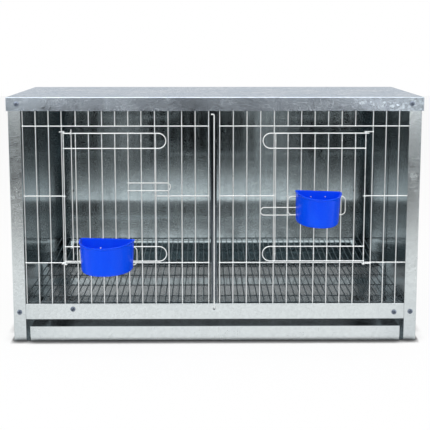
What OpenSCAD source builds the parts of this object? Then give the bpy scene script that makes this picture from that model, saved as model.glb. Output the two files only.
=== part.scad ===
// Double pigeon cage: two wire-fronted compartments in one galvanised sheet body.
// X runs along the front, -Y is the front, Z is up. The ground is z = 0.

/* [Sheet body] */
// Width over the lid
lid_w = 800; // [720:5:900]
// Depth over the lid
lid_d = 380; // [330:5:450]
// Height from the ground to the top of the lid
cage_h = 480; // [470:5:540]
// Thickness of the galvanised sheet
sheet = 0.8; // [0.6:0.1:1.2]
// Outside radius of the folded edges
bend_r = 1.6; // [1.4:0.1:2.5]
// Height of the lip folded down round the lid
lip_h = 26.5; // [20:0.5:30]
// Clear space between the lid's lip and the body
lip_gap = 2.2; // [0.5:0.1:4]
// Width of the two front posts, the side panels' front flanges
post_w = 24; // [20:1:30]
// Width of the other flanges of the side panels
flange_w = 18; // [12:1:24]
// Width of the flange at each side's foot, which carries the tray
runner_w = 40; // [38:1:50]

/* [Front rail and header] */
// Height of the front rail's lower edge above the ground
rail_z = 43; // [36:1:50]
// Height of the front rail
rail_h = 32; // [24:1:38]
// Depth of the rail's two flanges, and of the ledge at the back
ledge_d = 14; // [12:1:20]
// Gap between the rail's end and the post beside it
rail_end_gap = 0.6; // [0.3:0.1:1.5]
// Length of the tabs that reach behind the posts
tab_len = 18; // [14:1:20]
// Height of the header hidden behind the lid's lip
header_h = 20; // [16:1:22]

/* [Tray] */
// Clear space between the tray and the post on each side
tray_side_gap = 8; // [4:1:12]
// Height of the tray
tray_h = 28.5; // [20:0.5:32]
// How far the tray's front stands before the posts
tray_proud = 3; // [0:0.5:6]
// Clear space behind the tray
tray_back_gap = 6; // [3:1:12]
// Height of the hem folded inside the tray's top edge
hem_h = 6; // [4:1:9]

/* [Wire] */
// Diameter of the grille, door and floor wires
wire = 2.2; // [1.8:0.1:2.6]
// Diameter of the latch and cup wires
thin_wire = 1.8; // [1.4:0.1:2]
// Space left where one wire lies on another or on sheet
seat = 0.05; // [0.02:0.01:0.1]
// Clear space between pieces that move past each other
run = 0.3; // [0.2:0.05:0.5]
// Clear space round the door's upright in its eyes
eye_gap = 0.4; // [0.2:0.1:0.6]

/* [Grilles] */
// Distance from the middle of the front to the left grille's first upright
left_start = 12.5; // [10:0.5:16]
// Distance from the middle of the front to the right grille's first upright
right_start = 8.6; // [7:0.1:12]
// Upright spacing of the left grille beside the middle
left_pitch = 26; // [25:0.1:27]
// Upright spacing of the right grille beside the middle
right_pitch = 26.3; // [25:0.1:27]
// Distance from the left door's last plain upright to the fixed one beyond its hinge
left_outer_space = 27; // [24.5:0.1:27.5]
// The same on the right
right_outer_space = 34.1; // [30:0.1:38]
// Upright spacing of the left grille beyond its door
left_outer_pitch = 24.9; // [24:0.1:27]
// Upright spacing of the right grille beyond its door
right_outer_pitch = 25.1; // [24:0.1:27]
// Height of the lower cross wire above the rail
low_wire_rise = 81.8; // [70:0.1:95]
// Height of the middle cross wire above the lower one
mid_wire_rise = 131.9; // [110:0.1:150]
// Drop of the upper cross wire below the lid's lip
top_wire_drop = 29.2; // [20:0.1:36]

/* [Doors] */
// Number of full uprights between the middle of the front and each door
uprights_beside_door = 5; // [4:1:6]
// Number of plain uprights in each door
uprights_in_door = 6; // [5:1:6]
// Upright spacing of the left door
left_door_pitch = 25.2; // [24.5:0.1:26]
// Upright spacing of the right door
right_door_pitch = 26; // [25:0.1:26.5]
// Height between the two legs of a door's wire loops
loop_h = 29; // [24:1:34]
// Space between the door's lower loop and the lower cross wire
door_sill = 3.9; // [2.4:0.1:5]
// Space between the door's upper loop and the upper cross wire
door_head = 13.5; // [10:0.5:20]
// How far the left door's loops reach past its last upright
left_loop_reach = 21.1; // [16:0.1:24]
// How far the right door's loops reach past its last upright
right_loop_reach = 25.4; // [18:0.1:27]
// How far the left door's last upright stands on the middle's side of the fixed one
left_last_shift = 1.7; // [1:0.1:4]
// How far the right door's last upright stands beyond the fixed one
right_last_shift = 2.6; // [1:0.1:4]
// Distance from the left door's last plain upright to its hinge upright
left_hinge_space = 23.2; // [20:0.1:24]
// The same on the right door
right_hinge_space = 19.7; // [18:0.1:24]
// How far the right door's top wire runs past its hinge upright
wire_stub = 6; // [3:0.5:8]

/* [Latches] */
// Length of the left latch loop from its pivot upright to its tip
left_latch_len = 82.3; // [76:0.1:88]
// Length of the right latch loop
right_latch_len = 79.1; // [74:0.1:86]
// Height between the legs of a latch loop
latch_h = 15; // [12:1:18]
// Height of the left latch above the lower cross wire
left_latch_rise = 143; // [125:1:160]
// Height of the right latch above the lower cross wire
right_latch_rise = 94.8; // [94:0.1:99]

/* [Cups] */
// Distance of the left cup's middle from the middle of the front
left_cup_in = 208; // [200:0.5:214]
// Distance of the right cup's middle from the middle of the front
right_cup_in = 198.5; // [194:0.5:204]
// Width of the left cup at its rim
left_cup_w = 108; // [98:1:116]
// Depth of the left cup from back to front at its rim
left_cup_d = 78; // [64:1:84]
// Height of the left cup
left_cup_h = 61.5; // [50:0.5:66]
// Turn of the left cup on its hooks, in degrees
left_cup_turn = 8; // [4:1:9]
// Width of the right cup at its rim
right_cup_w = 90; // [84:1:98]
// Depth of the right cup from back to front at its rim
right_cup_d = 80; // [62:1:84]
// Height of the right cup
right_cup_h = 62; // [54:1:70]
// Wall of the cups
cup_wall = 1.8; // [1.4:0.1:2.4]
// Part of a cup's width and depth that is left above its foot
cup_taper = 0.95; // [0.84:0.01:0.97]
// How far a cup's rim stands out past its wall
rim_lip = 1.6; // [0.8:0.1:2.4]
// Thickness of that rim
rim_edge = 2.2; // [1.4:0.1:3]
// Roll of the right cup on its prongs, in degrees
right_cup_roll = 2; // [0:0.5:3]
// Fall of a cup's rim from its back to its front
rim_fall = 6; // [2:0.5:9]
// How far the right cup's bracket stands nearer the middle than its cup
right_bracket_shift = 2; // [0:0.5:4]
// Height of the right cup's bracket above the lower cross wire
right_bracket_rise = 132; // [131:1:150]
// Height of the bracket's wire loop
bracket_h = 36; // [30:1:38]
// Length of the bracket's wire loop
bracket_w = 111; // [104:1:112]
// Drop of the bracket's upper leg below the left cup's rim
left_bracket_drop = 18.5; // [14:0.5:20]
// The same on the right cup
right_bracket_drop = 11; // [9:0.5:14]

/* [Floor] */
// Spacing of the floor's front-to-back wires
floor_pitch = 12.7; // [11:0.1:15]
// Spacing of the floor's cross wires
floor_cross_pitch = 95; // [80:1:110]
// Distance from the posts' front to the floor's second cross wire
floor_cross_start = 60; // [45:1:75]
// Distance from the side wall to the floor's edge
floor_side_gap = 16; // [12:1:19]
// Distance from the partition to the floor's edge
floor_mid_gap = 6; // [5:0.5:9]

/* [Partition and rod] */
// Distance of the partition's sheet left of the middle
partition_shift = 2; // [0:0.5:3]
// Width of the partition's front and back flanges
partition_flange = 10; // [8:0.5:12]
// Diameter of the upright rod in the middle of the front
rod_d = 2.8; // [2.4:0.1:4]
// Clear space round the rod's bent end in the rail
rod_hole_gap = 1.2; // [0.7:0.1:1.4]
// Height of that end above the rail's lower edge
rod_hole_rise = 21.5; // [20:0.5:23]
// Distance of the rod's top below the lid's lip
rod_top_drop = 6.5; // [6:0.5:20]

/* [Fasteners] */
// Diameter of a screw's head
head_d = 10; // [7:0.5:11]
// Height of a screw's head
head_h = 2.6; // [1.6:0.1:3]
// Diameter of a screw's shank
shank_d = 3.8; // [3:0.1:4.2]
// Length of the shank of a screw in the posts and rail
shank_len = 9; // [7:0.5:12]
// How far a lid screw's shank reaches behind the posts' front face
lid_shank_reach = 2.4; // [1.8:0.1:2.8]
// Clear space round a screw's shank
screw_gap = 0.1; // [0.05:0.01:0.2]
// Distance of the left lid screw from the lid's left end
left_lid_screw = 20.5; // [20:0.5:22]
// Distance of the right lid screw from the lid's right end
right_lid_screw = 23; // [20:0.5:23]
// Height of a lid screw above the lip's lower edge
lid_screw_rise = 13.5; // [10:0.5:14]
// Distance of a post screw from the body's side
post_screw_in = 12; // [9.5:0.5:15]
// Height of a post screw above the rail's lower edge
post_screw_rise = 15; // [9:0.5:20]
// Distance of the left rail screw from the middle of the front
left_rail_screw = 280; // [250:5:310]
// Distance of the right rail screw from the middle of the front
right_rail_screw = 353; // [320:1:356]
// Height of the left rail screw above the rail's lower edge
left_rail_screw_rise = 21; // [8:0.5:24]
// Height of the right rail screw above the rail's lower edge
right_rail_screw_rise = 14; // [8:0.5:24]
// Diameter of a rivet's head
rivet_d = 5; // [4:0.5:6]
// Diameter of a rivet's shank
rivet_shank_d = 3; // [2:0.1:3.2]
// Distance from the middle of the back to the inner rivet of each pair
rear_rivet = 319; // [300:1:325]
// Distance between the two rivets of a pair
rivet_pitch = 14; // [10:1:18]
// Height of those rivets above the lower cross wire
rear_rivet_rise = 89; // [60:1:110]
// Diameter of a small rivet's head in the partition's flange
small_rivet_d = 3.2; // [2.6:0.1:3.6]
// Height of the lower small rivet above the lower cross wire
small_rivet_rise = 111; // [80:1:140]
// Distance of the upper small rivet below the upper cross wire
small_rivet_drop = 30; // [20:1:60]

/* [Hidden] */

wire_sides = 24;
hole_sides = 32;
cup_sides = 72;
nudge = 0.5;
galvanised = [0.74, 0.77, 0.79];
wire_grey = [0.82, 0.84, 0.85];
cup_blue = [0.05, 0.25, 0.95];
zinc = [0.62, 0.65, 0.68];

// How far the cups reach in front of the posts decides where the middle of the depth is.
upright_out = wire + eye_gap;
bracket_out = upright_out + wire + seat + wire / 2 + run + thin_wire / 2;
cup_out = bracket_out + thin_wire / 2 + run;
cross_wire_in = sheet + seat + wire / 2;
left_half = left_cup_w / 2;
cup_foot = 5;
left_cup_reach = left_half * sin(left_cup_turn)
    + sqrt(pow(left_half * sin(left_cup_turn), 2) + pow(rim_depth(left_cup_d) * cos(left_cup_turn), 2));
right_cup_reach = rim_depth(right_cup_d);
cup_reach = max(left_cup_reach, right_cup_reach) + cup_out - cross_wire_in;
front_reach = max(cup_reach - sheet - lip_gap, 0);
mid_y = front_reach / 2;

// Body
half_w = lid_w / 2 - sheet - lip_gap;
front_y = mid_y - lid_d / 2 + sheet + lip_gap;
back_y = mid_y + lid_d / 2 - sheet - lip_gap;
body_d = back_y - front_y;
lid_under = cage_h - sheet;
body_top = lid_under - seat;
post_in = half_w - post_w;
lip_z = cage_h - lip_h;
rear_y = back_y - sheet - seat - sheet;
lid_front_y = mid_y - lid_d / 2;
rail_top = rail_z + rail_h;
header_z = body_top - header_h;
strip_end = post_in - rail_end_gap;
tab_inset = 3;

// Layers of wire at the front, from the posts' plane inwards and outwards
cross_y = front_y + cross_wire_in;
upright_y = cross_y + wire + seat;
door_y = cross_y - upright_out;
loop_y = door_y - wire - seat;
latch_y = door_y - wire / 2 - run - thin_wire / 2;
bracket_y = cross_y - bracket_out;
cup_y = cross_y - cup_out;
rod_y = front_y - rod_d / 2 - seat;

// Heights of the front's wires
low_z = rail_top + low_wire_rise;
mid_z = low_z + mid_wire_rise;
top_z = lip_z - top_wire_drop;
loop_low_z = low_z + door_sill;
loop_mid_low_z = loop_low_z + loop_h;
loop_top_z = top_z - door_head;
loop_mid_top_z = loop_top_z - loop_h;
head_wire_z = header_z + wire;

// Places of the uprights
door_first = uprights_beside_door;
door_steps = uprights_in_door - 1;
left_door_x = left_start + left_pitch * door_first;
right_door_x = right_start + right_pitch * door_first;
left_plain_x = left_door_x + left_door_pitch * door_steps;
right_plain_x = right_door_x + right_door_pitch * door_steps;
left_outer_x = left_plain_x + left_outer_space;
left_outer_count = floor((post_in - wire / 2 - left_outer_x) / left_outer_pitch) + 1;
right_outer_x = right_plain_x + right_outer_space;
right_outer_count = floor((half_w - sheet - wire - right_outer_x) / right_outer_pitch) + 1;
left_hinge_x = left_plain_x + left_hinge_space;
right_hinge_x = right_plain_x + right_hinge_space;
left_last_x = left_door_x - left_pitch - left_last_shift;
right_last_x = right_door_x - right_pitch + right_last_shift;
left_latch_x = left_door_x + left_door_pitch;
right_latch_x = right_door_x + right_door_pitch;

// Hinge eyes, whose tails run out along the grille
eye_turn = 245;
left_tail = left_outer_x - left_hinge_x + 2 * wire;
right_tail = right_outer_x - right_hinge_x + wire / 2;
low_eye_z = low_z - wire - seat;
top_eye_z = loop_top_z + wire + run;

// Tray
tray_half = post_in - tray_side_gap;
tray_z = sheet + run;
tray_front = front_y - tray_proud;
tray_back = rear_y - tray_back_gap;

// Floor
floor_play = 1;
floor_front = upright_y + wire / 2 + floor_play;
floor_back = rear_y - floor_play;
floor_cross_z = rail_top + seat + wire / 2;
floor_long_z = floor_cross_z + wire + seat;
floor_outer_x = half_w - sheet - floor_side_gap;

// Cups
left_cup_x = -left_cup_in;
right_cup_x = right_cup_in;
left_bracket_z = loop_mid_low_z;
right_bracket_z = low_z + right_bracket_rise;
left_rim_z = left_bracket_z + left_bracket_drop;
slice = 0.01;
bracket_corner = 8;
prong_x = 14;
prong_len = 5.2;
prong_play = max(prong_x * tan(right_cup_roll), cup_wall * tan(left_cup_turn));
prong_hole_d = thin_wire + 2 * (run + prong_play);
hook_x = 28;
hook_turn = 154;
hook_tail = 3;

// Rod and hook wire at the front
rod_top = lip_z - rod_top_drop;
rod_tip = 3;
rod_hole_z = rail_z + rod_hole_rise;
hook_wire_in = 15.7;
hook_wire_x = hook_wire_in - left_hinge_x;
hook_wire_under = 3;
hook_wire_over = 8;

// Fasteners
lid_screw_x = [left_lid_screw - lid_w / 2, lid_w / 2 - right_lid_screw];
lid_screw_z = lip_z + lid_screw_rise;
post_screw_x = half_w - post_screw_in;
post_screw_z = rail_z + post_screw_rise;
left_rail_screw_z = rail_z + left_rail_screw_rise;
right_rail_screw_z = rail_z + right_rail_screw_rise;
recess_turn = 20;
recess_len = 0.6 * head_d;
recess_w = 0.16 * head_d;
dome = 0.8;
rear_rivet_z = low_z + rear_rivet_rise;
rivet_h = 1.2;
rivet_tail = 0.6;
small_rivet_x = partition_flange / 4 + sheet - partition_shift;
small_rivet_z = [low_z + small_rivet_rise, top_z - small_rivet_drop];
small_shank_d = small_rivet_d / 2;

// Depth of a cup's sloping rim in plan
function rim_depth(d) = d * cos(atan(rim_fall / d));

// Straight round wires along each axis
module wire_x(x0, x1, y, z, d = wire) {
    translate([min(x0, x1), y, z])
        rotate([0, 90, 0])
            cylinder(h = abs(x1 - x0), d = d, $fn = wire_sides);
}

module wire_y(x, y0, y1, z, d = wire) {
    translate([x, min(y0, y1), z])
        rotate([-90, 0, 0])
            cylinder(h = abs(y1 - y0), d = d, $fn = wire_sides);
}

module wire_z(x, y, z0, z1, d = wire) {
    translate([x, y, min(z0, z1)])
        cylinder(h = abs(z1 - z0), d = d, $fn = wire_sides);
}

// Part of a wire ring in the XY plane about the origin, from angle 0
module arc(r, d, turn) {
    rotate_extrude(angle = turn, $fn = 48)
        translate([r, 0])
            circle(d = d, $fn = wire_sides);
}

// Half ring in the XZ plane whose open side faces away from dir
module half_ring_xz(x, y, z, r, d, dir) {
    translate([x, y, z])
        rotate([90, 0, 0])
            rotate([0, 0, dir > 0 ? -90 : 90])
                arc(r, d, 180);
}

// Wire loop of two legs from x_open, closed by a round end whose tip is at x_tip
module u_loop(x_open, x_tip, y, z_low, h, d = wire) {
    dir = x_tip > x_open ? 1 : -1;
    r = h / 2;
    x_mid = x_tip - dir * (r + d / 2);
    wire_x(x_open, x_mid, y, z_low, d);
    wire_x(x_open, x_mid, y, z_low + h, d);
    half_ring_xz(x_mid, y, z_low + r, r, d, dir);
}

// Plate from one corner to the opposite one
module plate(a, b) {
    translate(a)
        cube(b - a);
}

// Hole along Y through whatever lies between two depths
module hole_y(x, y0, y1, z, d) {
    translate([x, y0, z])
        rotate([-90, 0, 0])
            cylinder(h = y1 - y0, d = d, $fn = hole_sides);
}

// Square with its corners rounded, from exact arcs
module round_rect(w, d, r) {
    square([w - 2 * r, d], center = true);
    square([w, d - 2 * r], center = true);
    for (x = [-1, 1], y = [-1, 1])
        translate([x * (w / 2 - r), y * (d / 2 - r)])
            circle(r = r, $fn = 32);
}

// Upright block with rounded upper edges and rounded upright edges
module soft_box(w, d, h, r) {
    intersection() {
        linear_extrude(h)
            round_rect(w, d, r);
        translate([0, d / 2 + nudge, h / 2 - r])
            rotate([90, 0, 0])
                linear_extrude(d + 2 * nudge)
                    round_rect(w, h + 2 * r, r);
        translate([-w / 2 - nudge, 0, h / 2 - r])
            rotate([90, 0, 90])
                linear_extrude(w + 2 * nudge)
                    round_rect(d, h + 2 * r, r);
    }
}

// Folded lid: top sheet and a lip on all four sides
module lid() {
    color(galvanised)
        difference() {
            translate([0, mid_y, lip_z])
                soft_box(lid_w, lid_d, lip_h, bend_r);
            translate([0, mid_y, lip_z - nudge])
                linear_extrude(lip_h - sheet + nudge)
                    round_rect(lid_w - 2 * sheet, lid_d - 2 * sheet, bend_r - sheet);
            lid_screw_holes(lid_front_y - nudge, lid_front_y + sheet + nudge);
        }
}

module lid_screw_holes(y0, y1) {
    for (x = lid_screw_x)
        hole_y(x, y0, y1, lid_screw_z, shank_d + 2 * screw_gap);
}

module post_screw_holes(y0, y1) {
    for (side = [-1, 1])
        hole_y(side * post_screw_x, y0, y1, post_screw_z, shank_d + 2 * screw_gap);
}

// Plan of a side panel with its front post and back flange
module side_plan() {
    difference() {
        translate([half_w / 2, (front_y + back_y) / 2])
            round_rect(half_w, body_d, bend_r);
        translate([(half_w - sheet) / 2, (front_y + back_y) / 2])
            round_rect(half_w - sheet, body_d - 2 * sheet, bend_r - sheet);
        translate([-nudge, front_y - nudge])
            square([post_in + nudge, body_d / 2 + nudge]);
        translate([-nudge, (front_y + back_y) / 2 - nudge])
            square([half_w - flange_w + nudge, body_d / 2 + 2 * nudge]);
    }
}

// Right side panel: wall, post, back flange, top flange and tray runner
module side_panel() {
    inner_x = half_w - sheet;
    difference() {
        union() {
            linear_extrude(body_top)
                side_plan();
            plate([half_w - flange_w, front_y + sheet, body_top - sheet],
                [inner_x, back_y - sheet, body_top]);
            plate([half_w - runner_w, front_y + sheet, 0], [inner_x, rear_y - seat, sheet]);
        }
        plate([half_w - flange_w - nudge, rear_y - seat, body_top - sheet - nudge],
            [inner_x - seat, back_y - sheet, body_top + nudge]);
    }
}

module left_side_panel() {
    color(galvanised)
        difference() {
            mirror([1, 0, 0])
                side_panel();
            lid_screw_holes(front_y - nudge, front_y + sheet + nudge);
            post_screw_holes(front_y - nudge, front_y + sheet + nudge);
        }
}

module right_side_panel() {
    color(galvanised)
        difference() {
            side_panel();
            lid_screw_holes(front_y - nudge, front_y + sheet + nudge);
            post_screw_holes(front_y - nudge, front_y + sheet + nudge);
        }
}

// Flat back between the side panels, inside their back flanges
module rear_panel() {
    edge = half_w - bend_r - seat;
    color(galvanised)
        difference() {
            plate([-edge, rear_y, sheet], [edge, rear_y + sheet, body_top]);
            for (side = [-1, 1], x = [rear_rivet, rear_rivet + rivet_pitch])
                hole_y(side * x, rear_y - nudge, rear_y + sheet + nudge, rear_rivet_z,
                    rivet_shank_d + 2 * screw_gap);
        }
}

// Upright wall between the compartments, flanged at the front and back
module partition() {
    x = -partition_shift;
    y0 = upright_y + wire / 2 + seat;
    y1 = rear_y - seat;
    z0 = floor_long_z + wire / 2 + run;
    z1 = body_top - sheet - seat;
    half_flange = partition_flange / 2;
    color(galvanised)
        difference() {
            union() {
                plate([x - sheet / 2, y0, z0], [x + sheet / 2, y1, z1]);
                plate([x - half_flange, y0, z0], [x + half_flange, y0 + sheet, z1]);
                plate([x - half_flange, y1 - sheet, z0], [x + half_flange, y1, z1]);
                plate([x - sheet / 2, y0, rail_top + seat], [x + sheet / 2, y0 + ledge_d / 2, z0]);
                plate([x - sheet / 2, y1 - ledge_d / 2, rail_top + seat], [x + sheet / 2, y1, z0]);
            }
            for (z = small_rivet_z)
                hole_y(small_rivet_x, y0 - nudge, y0 + sheet + nudge, z, small_shank_d + 2 * screw_gap);
        }
}

// Strip behind the lid's lip that carries the tops of both grilles
module front_header() {
    color(galvanised)
        difference() {
            union() {
                plate([-strip_end, front_y, header_z], [strip_end, front_y + sheet, body_top]);
                plate([-strip_end, front_y, body_top - sheet], [strip_end, front_y + ledge_d, body_top]);
                for (side = [-1, 1])
                    end_tab(side, header_z + 2 * wire, body_top - sheet - tab_inset);
            }
            lid_screw_holes(front_y - nudge, front_y + 2 * sheet + nudge);
        }
}

// Tab behind a strip's end, which reaches behind the post beside it
module end_tab(side, z0, z1) {
    x0 = side * (strip_end - tab_len / 2);
    x1 = side * (strip_end + tab_len);
    plate([min(x0, x1), front_y + sheet, z0], [max(x0, x1), front_y + 2 * sheet, z1]);
}

// Section of the rail: front face with a flange folded back at top and bottom
module rail_section() {
    difference() {
        translate([ledge_d / 2, rail_h / 2])
            round_rect(ledge_d, rail_h, bend_r);
        translate([ledge_d / 2, rail_h / 2])
            round_rect(ledge_d - 2 * sheet, rail_h - 2 * sheet, bend_r - sheet);
        translate([ledge_d - bend_r, -nudge])
            square([ledge_d, rail_h + 2 * nudge]);
    }
}

// Front rail between the posts, under the grilles
module front_rail() {
    y0 = front_y - nudge;
    y1 = front_y + sheet + nudge;
    screw_hole_d = shank_d + 2 * screw_gap;
    color(galvanised)
        difference() {
            union() {
                translate([-strip_end, front_y, rail_z])
                    rotate([90, 0, 90])
                        linear_extrude(2 * strip_end)
                            rail_section();
                for (side = [-1, 1])
                    end_tab(side, rail_z + tab_inset, rail_top - tab_inset);
            }
            post_screw_holes(y0, y1 + sheet);
            hole_y(-left_rail_screw, y0, y1, left_rail_screw_z, screw_hole_d);
            hole_y(right_rail_screw, y0, y1, right_rail_screw_z, screw_hole_d);
            hole_y(-partition_shift, y0, y1, rod_hole_z, rod_d + 2 * rod_hole_gap);
        }
}

// Angle on the back that carries the rear of the floors
module rear_ledge() {
    x = half_w - flange_w - seat;
    color(galvanised) {
        plate([-x, rear_y - seat - sheet, rail_z], [x, rear_y - seat, rail_top]);
        plate([-x, rear_y - ledge_d, rail_top - sheet], [x, rear_y - seat, rail_top]);
    }
}

// One floor grid, with its front-to-back wires lying on the cross wires
module floor_mesh(x0, x1) {
    count = floor((x1 - x0) / floor_pitch);
    start = (x0 + x1 - count * floor_pitch) / 2;
    cross_count = floor((floor_back - wire - front_y - floor_cross_start) / floor_cross_pitch);
    for (i = [0 : count])
        wire_y(start + i * floor_pitch, floor_front, floor_back, floor_long_z);
    for (y = [floor_front + wire, floor_back - wire])
        wire_x(start - wire, start + count * floor_pitch + wire, y, floor_cross_z);
    for (i = [0 : cross_count])
        if (front_y + floor_cross_start + i * floor_cross_pitch < floor_back - 3 * wire)
            wire_x(start - wire, start + count * floor_pitch + wire,
                front_y + floor_cross_start + i * floor_cross_pitch, floor_cross_z);
}

module left_floor_mesh() {
    color(wire_grey)
        floor_mesh(-floor_outer_x, -partition_shift - floor_mid_gap);
}

module right_floor_mesh() {
    color(wire_grey)
        floor_mesh(-partition_shift + floor_mid_gap, floor_outer_x);
}

// Droppings tray with a hem folded inside its top edge
module tray() {
    w = 2 * tray_half;
    d = tray_back - tray_front;
    y = (tray_back + tray_front) / 2;
    color(galvanised)
        difference() {
            translate([0, y, tray_z])
                linear_extrude(tray_h)
                    round_rect(w, d, bend_r);
            translate([0, y, tray_z + sheet])
                linear_extrude(tray_h - hem_h - sheet)
                    round_rect(w - 2 * sheet, d - 2 * sheet, bend_r - sheet);
            plate([-tray_half + 2 * sheet, tray_front + 2 * sheet, tray_z + tray_h - hem_h - nudge],
                [tray_half - 2 * sheet, tray_back - 2 * sheet, tray_z + tray_h + nudge]);
        }
}

// Fixed grille: uprights behind cross wires, the middle one broken by the door's opening
module grille(side, start, pitch, door_x, door_pitch, outer_x, outer_pitch, outer_count, eye_end) {
    wire_low = rail_top + seat;
    wire_top = body_top - sheet - seat;
    last_x = start + (door_first - 1) * pitch;
    end_x = outer_x + (outer_count - 1) * outer_pitch;
    for (i = [0 : door_first - 1])
        wire_z(side * (start + i * pitch), upright_y, wire_low, wire_top);
    for (i = [0 : door_steps]) {
        wire_z(side * (door_x + i * door_pitch), upright_y, wire_low, low_z + wire / 2);
        wire_z(side * (door_x + i * door_pitch), upright_y, top_z - wire / 2, wire_top);
    }
    for (i = [0 : outer_count - 1])
        wire_z(side * (outer_x + i * outer_pitch), upright_y, wire_low, wire_top);
    for (z = [low_z, top_z, head_wire_z])
        wire_x(side * (start - wire / 2), side * (end_x + wire / 2), cross_y, z);
    wire_x(side * (start - wire / 2), side * (last_x + wire / 2), cross_y, mid_z);
    wire_x(side * (eye_end + seat), side * (end_x + wire / 2), cross_y, mid_z);
}

module left_grille() {
    color(wire_grey)
        grille(-1, left_start, left_pitch, left_door_x, left_door_pitch,
            left_outer_x, left_outer_pitch, left_outer_count, left_hinge_x + left_tail);
}

module right_grille() {
    color(wire_grey)
        grille(1, right_start, right_pitch, right_door_x, right_door_pitch,
            right_outer_x, right_outer_pitch, right_outer_count, right_hinge_x + right_tail);
}

// Wires bent to open eyes round a door's hinge upright, with their tails on the grille
module hinge_eyes(x, tail) {
    for (z = [low_eye_z, mid_z, top_eye_z]) {
        translate([x, door_y, z])
            rotate([0, 0, 90])
                arc(upright_out, wire, eye_turn);
        wire_x(x, x + tail, cross_y, z);
    }
}

module left_hinge_eyes() {
    color(wire_grey)
        mirror([1, 0, 0])
            hinge_eyes(left_hinge_x, left_tail);
}

module right_hinge_eyes() {
    color(wire_grey)
        hinge_eyes(right_hinge_x, right_tail);
}

// Door: uprights behind two long loops, whose round ends close over the grille
module door(side, door_x, pitch, hinge_x, last_x, reach, stub) {
    loop_start = side * (hinge_x + wire / 2);
    for (i = [0 : door_steps])
        wire_z(side * (door_x + i * pitch), door_y, loop_low_z, loop_top_z + wire / 2);
    wire_z(side * last_x, door_y, loop_low_z, loop_top_z + wire / 2);
    wire_z(side * hinge_x, door_y, low_eye_z - wire, top_eye_z + wire);
    for (z = [loop_low_z, loop_mid_top_z])
        u_loop(loop_start, side * (last_x - reach), loop_y, z, loop_h);
    if (stub > 0)
        wire_x(loop_start, side * (hinge_x + stub), loop_y, loop_top_z);
}

module left_door() {
    color(wire_grey)
        door(-1, left_door_x, left_door_pitch, left_hinge_x, left_last_x, left_loop_reach, 0);
}

module right_door() {
    color(wire_grey)
        door(1, right_door_x, right_door_pitch, right_hinge_x, right_last_x, right_loop_reach,
            wire_stub);
}

// Latch: thin wire loop whose legs end in open eyes about one of the door's uprights
module latch(x, z, length) {
    u_loop(x, x - length, latch_y, z, latch_h, thin_wire);
    for (dz = [0, latch_h])
        translate([x, door_y, z + dz])
            rotate([0, 0, -90])
                arc(door_y - latch_y, thin_wire, eye_turn);
}

module left_latch() {
    color(wire_grey)
        mirror([1, 0, 0])
            latch(left_latch_x, low_z + left_latch_rise, left_latch_len);
}

module right_latch() {
    color(wire_grey)
        latch(right_latch_x, low_z + right_latch_rise, right_latch_len);
}

// Plan of a cup: half an oval with its flat side on y = 0
module cup_plan(w, d) {
    intersection() {
        scale([w / 2, d])
            circle(r = 1, $fn = cup_sides);
        translate([-w, -2 * d])
            square([2 * w, 2 * d]);
    }
}

// Thin slice of a cup's plan at one height
module cup_slice(w, d, z) {
    translate([0, 0, z])
        linear_extrude(slice)
            cup_plan(w, d);
}

// Cup with a flat back, a tapered round front and a rim that falls to the front
module cup(w, d, h, drop) {
    slope = atan(rim_fall / d);
    shell_w = w - 2 * rim_lip;
    shell_d = d - rim_lip;
    base_w = shell_w * cup_taper;
    base_d = shell_d * cup_taper;
    difference() {
        union() {
            hull() {
                cup_slice(shell_w, shell_d, h - slice);
                cup_slice(base_w, base_d, cup_foot);
                cup_slice(base_w - 2 * cup_foot, base_d - cup_foot, 0);
            }
            translate([0, 0, h])
                rotate([slope, 0, 0])
                    translate([0, 0, -rim_edge])
                        linear_extrude(rim_edge + nudge)
                            cup_plan(w, d);
        }
        translate([0, -cup_wall, 0])
            hull() {
                cup_slice(shell_w - 2 * cup_wall, shell_d - 2 * cup_wall, h + nudge);
                cup_slice(base_w - 2 * cup_wall, base_d - 2 * cup_wall, cup_wall + cup_foot);
                cup_slice(base_w - 2 * cup_foot - cup_wall, base_d - cup_foot - 2 * cup_wall, cup_wall);
            }
        translate([0, 0, h])
            rotate([slope, 0, 0])
                translate([-w, -2 * d, 0])
                    cube([2 * w, 3 * d, h]);
        translate([-w, 0, 0])
            cube([2 * w, d, h]);
        for (x = [-prong_x, prong_x])
            hole_y(x, -cup_wall - nudge, nudge, h - drop, prong_hole_d);
    }
}

module left_cup() {
    color(cup_blue)
        translate([left_cup_x, cup_y - left_half * sin(left_cup_turn), left_rim_z - left_cup_h])
            rotate([0, 0, -left_cup_turn])
                cup(left_cup_w, left_cup_d, left_cup_h, left_bracket_drop);
}

module right_cup() {
    color(cup_blue)
        translate([right_cup_x, cup_y, right_bracket_z])
            rotate([0, right_cup_roll, 0])
                translate([0, 0, right_bracket_drop - right_cup_h])
                    cup(right_cup_w, right_cup_d, right_cup_h, right_bracket_drop);
}

// Long rounded wire loop behind a cup, with two prongs into the cup's back
module bracket(x, z, cup_x, prong) {
    r = bracket_corner;
    x0 = x - bracket_w / 2;
    x1 = x + bracket_w / 2;
    z0 = z - bracket_h;
    wire_x(x0 + r, x1 - r, bracket_y, z, thin_wire);
    wire_x(x0 + r, x1 - r, bracket_y, z0, thin_wire);
    wire_z(x0, bracket_y, z0 + r, z - r, thin_wire);
    wire_z(x1, bracket_y, z0 + r, z - r, thin_wire);
    corner(x1 - r, z - r, 0);
    corner(x0 + r, z - r, 90);
    corner(x0 + r, z0 + r, 180);
    corner(x1 - r, z0 + r, 270);
    for (dx = [-prong_x, prong_x])
        wire_y(cup_x + dx, bracket_y - prong, bracket_y - thin_wire / 2 - seat, z, thin_wire);
}

module corner(x, z, from) {
    translate([x, bracket_y, z])
        rotate([90, 0, 0])
            rotate([0, 0, from])
                arc(bracket_corner, thin_wire, 90);
}

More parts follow.
